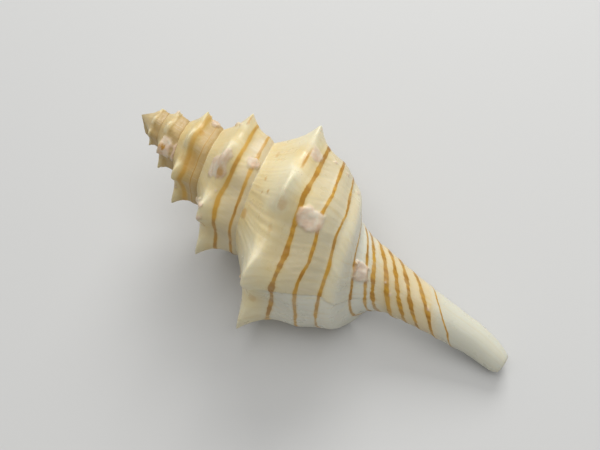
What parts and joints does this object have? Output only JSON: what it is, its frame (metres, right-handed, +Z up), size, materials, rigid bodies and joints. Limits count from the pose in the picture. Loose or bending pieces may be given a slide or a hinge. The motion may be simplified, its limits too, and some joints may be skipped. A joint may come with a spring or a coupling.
{
  "type": "sea shell",
  "caption": "Small spindle-shaped sea shell of a whelk-like snail, cream white with fine brown spiral lines, a spined shoulder and an open canal, lying on its aperture side.",
  "frame": {"origin": "on the surface it rests on, under the middle of its bounding box", "axes": "+X towards the canal's end with the apex towards -X, +Z up, away from the surface it rests on"},
  "size_m": [0.035, 0.0182, 0.0151],
  "materials": {
    "shell": "porcelain-like lime shell, half gloss"
  },
  "bodies": {
    "root": {"shell": "shell"}
  },
  "joints": []
}
